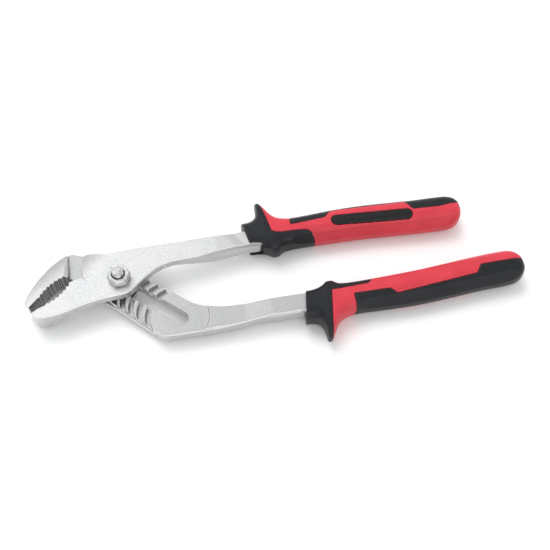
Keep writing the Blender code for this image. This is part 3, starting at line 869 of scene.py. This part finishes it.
def badge_plastic(name):
    """Glossy black badge with a shallow field of fine ribs and no lettering."""
    s = Surface(name, 0.3, 0.0, 0.3)
    ribs = s.add("ShaderNodeTexWave", wave_type="BANDS", bands_direction="X")
    ribs.inputs["Scale"].default_value = 260.0
    s.wire(s.place, ribs.inputs["Vector"])
    speck = s.noise(900.0, 2.0)
    colour = s.ramp(speck, ((0.3, (0.004, 0.004, 0.005)), (0.7, (0.010, 0.010, 0.011))))
    s.wire(colour, s.shader.inputs["Base Color"])
    s.wire(s.ramp(speck, ((0.3, 0.24), (0.7, 0.36))), s.shader.inputs["Roughness"])
    s.bump(((ribs.outputs["Fac"], 0.03), (speck, 0.008)))
    return s.made


# --- assembly ---------------------------------------------------------------------------------------


def dress(piece, node, body, finish, grain=None):
    """Softens a piece, puts it in the world, gives it its finish, and lets it stand for its CAD node."""
    if grain:
        soften(piece, grain)
    else:
        piece.data.shade_smooth()
        piece.data.set_sharp_from_angle(angle=radians(30))
    piece.data.transform(Matrix.Translation(ORIGIN))
    piece.data.materials.clear()
    piece.data.materials.append(finish)
    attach(piece, body)
    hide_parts(node)


FINISHES = {
    "satin_chrome_steel": satin_steel("satin_chrome"),
    "bright_zinc_steel": bright_steel("bright_zinc"),
    "red_plastic": red_plastic("red_moulding"),
    "black_rubber": black_rubber("black_elastomer"),
    "badge_plastic": badge_plastic("black_badge"),
}
SLEEVE_NODES = (
    ("grip_core", "red_plastic"),
    ("guard_collar", "black_rubber"),
    ("outer_panel", "black_rubber"),
    ("badge", "badge_plastic"),
)


def build_tool():
    steel = "satin_chrome_steel"
    zinc = "bright_zinc_steel"
    dress(grooved_half(), "grooved_half", "grooved_handle", FINISHES[steel], STEEL_GRAIN)
    dress(tongue_half(), "tongue_half", "tongue_handle", FINISHES[steel], STEEL_GRAIN)
    dress(pivot_bolt(), "pivot_bolt", "pivot", FINISHES[zinc])
    dress(pivot_nut(), "pivot_nut", "pivot", FINISHES[zinc])
    sleeves = (
        ("upper", UPPER_SLEEVE, "tongue_handle", UPPER_ARM_EDGE),
        ("lower", LOWER_SLEEVE, "grooved_handle", LOWER_ARM_EDGE),
    )
    for prefix, place, body, arm_edge in sleeves:
        for piece, (node, slot) in zip(sleeve_pieces(prefix, arm_edge), SLEEVE_NODES):
            piece.data.transform(place)
            dress(piece, prefix + "_" + node, body, FINISHES[slot], SLEEVE_GRAIN)


# --- studio -----------------------------------------------------------------------------------------

# heading, cosines where it starts and is full, strength
SOFTBOXES = (((-0.30, 0.45, 0.84), 0.87, 0.99, 0.74), ((0.05, -0.78, 0.62), 0.88, 0.97, 1.0))
SURROUND = 0.80
KEY_AT = (-0.2, 0.75, 1.0)
FLOOR_REACH = 6.0
FLOOR_DROP = 0.0002
CAMERA_LENS = 58.9
CAMERA_TILT = radians(28)
CAMERA_TURN = radians(-10)
CAMERA_FROM_BOLT = (0.04771, -0.26154, 0.47905)


def studio():
    """Pale floor, a broad light from behind and above, and a pale surround with two brighter patches."""
    scene = bpy.context.scene
    shape = bmesh.new()
    bmesh.ops.create_grid(shape, x_segments=1, y_segments=1, size=FLOOR_REACH)
    mesh = bpy.data.meshes.new("studio_floor")
    shape.to_mesh(mesh)
    shape.free()
    floor = link("studio_floor", mesh, Matrix.Translation((0, 0, -FLOOR_DROP)))
    paper = Surface("pale_paper", 0.9, 0.0, 0.1)
    paper.wire(paper.ramp(paper.noise(40.0), ((0.3, 0.95), (0.7, 0.97))), paper.shader.inputs["Base Color"])
    floor.data.materials.append(paper.made)

    light = bpy.data.lights.new("key", "AREA")
    light.shape = "DISK"
    light.size = 1.1
    light.energy = 9.0
    key = link("key", light)
    key.location = KEY_AT
    key.rotation_euler = (-Vector(KEY_AT)).to_track_quat("-Z", "Y").to_euler()
    key.visible_glossy = False

    world = bpy.data.worlds.new("surround")
    scene.world = world
    world.use_nodes = True
    nodes, links = world.node_tree.nodes, world.node_tree.links
    background = nodes["Background"]
    place = nodes.new("ShaderNodeTexCoord")
    total = None
    for heading, near, far, strength in SOFTBOXES:
        towards = nodes.new("ShaderNodeVectorMath")
        towards.operation = "DOT_PRODUCT"
        towards.inputs[1].default_value = Vector(heading).normalized()
        glow = nodes.new("ShaderNodeMapRange")
        glow.interpolation_type = "SMOOTHSTEP"
        for name, value in (("From Min", near), ("From Max", far), ("To Min", 0.0), ("To Max", strength)):
            glow.inputs[name].default_value = value
        links.new(place.outputs["Generated"], towards.inputs[0])
        links.new(towards.outputs["Value"], glow.inputs["Value"])
        added = nodes.new("ShaderNodeMath")
        added.inputs[1].default_value = SURROUND
        links.new(glow.outputs["Result"], added.inputs[0])
        if total:
            links.new(total, added.inputs[1])
        total = added.outputs["Value"]
    links.new(total, background.inputs["Strength"])
    background.inputs["Color"].default_value = (0.99, 1.0, 1.0, 1.0)

    camera = link("camera", bpy.data.cameras.new("camera"))
    camera.data.lens = CAMERA_LENS
    camera.data.sensor_width = 36.0
    camera.data.clip_start = 0.01
    camera.rotation_euler = (CAMERA_TILT, 0.0, CAMERA_TURN)
    camera.location = ORIGIN + Vector(CAMERA_FROM_BOLT)
    scene.camera = camera
    scene.view_settings.view_transform = "Standard"


build_tool()
studio()
